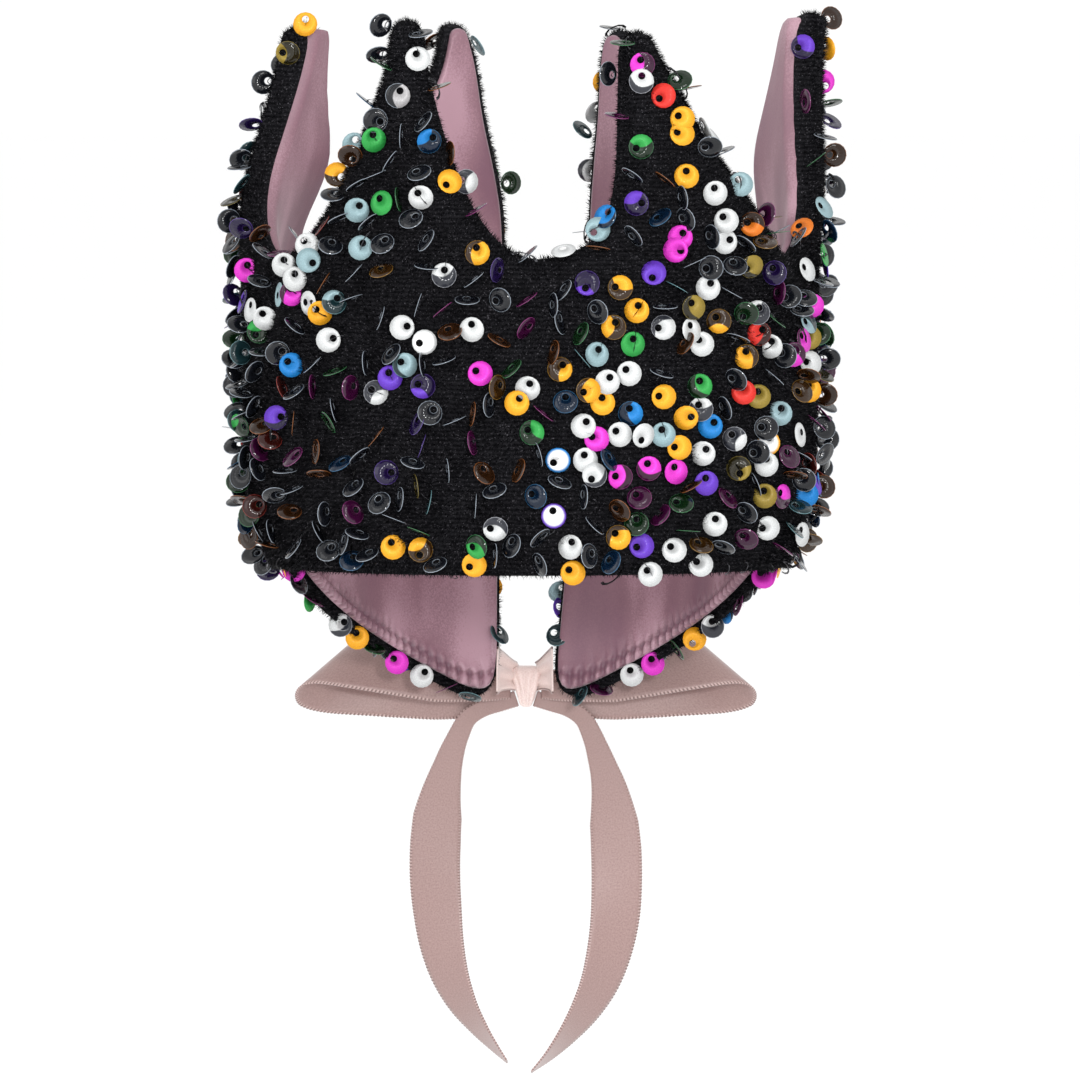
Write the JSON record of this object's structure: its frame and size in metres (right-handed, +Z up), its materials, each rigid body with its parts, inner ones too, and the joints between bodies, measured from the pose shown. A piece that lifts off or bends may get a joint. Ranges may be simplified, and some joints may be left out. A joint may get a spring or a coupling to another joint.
{
  "type": "sequin fabric crown with ribbon tie",
  "caption": "Soft padded fabric crown with rounded points, black velvet set with round sequins outside, satin lined, open at the back and tied with a satin ribbon bow.",
  "frame": {"origin": "middle of the head opening, level with the front hem, where the crown sits on the head", "axes": "+Z up along the head, -Y the front of the crown, +Y the back where the ribbon is tied"},
  "size_m": [0.1425, 0.1835, 0.271],
  "materials": {
    "velvet": "matte",
    "satin": "satin",
    "ribbon": "satin"
  },
  "bodies": {
    "root": {"velvet_shell": "velvet", "satin_lining": "satin", "bow_knot": "ribbon", "ribbon_tie_left": "ribbon", "ribbon_tie_right": "ribbon", "bow_loop_left": "ribbon", "bow_loop_right": "ribbon", "ribbon_tail_left": "ribbon", "ribbon_tail_right": "ribbon"}
  },
  "joints": []
}
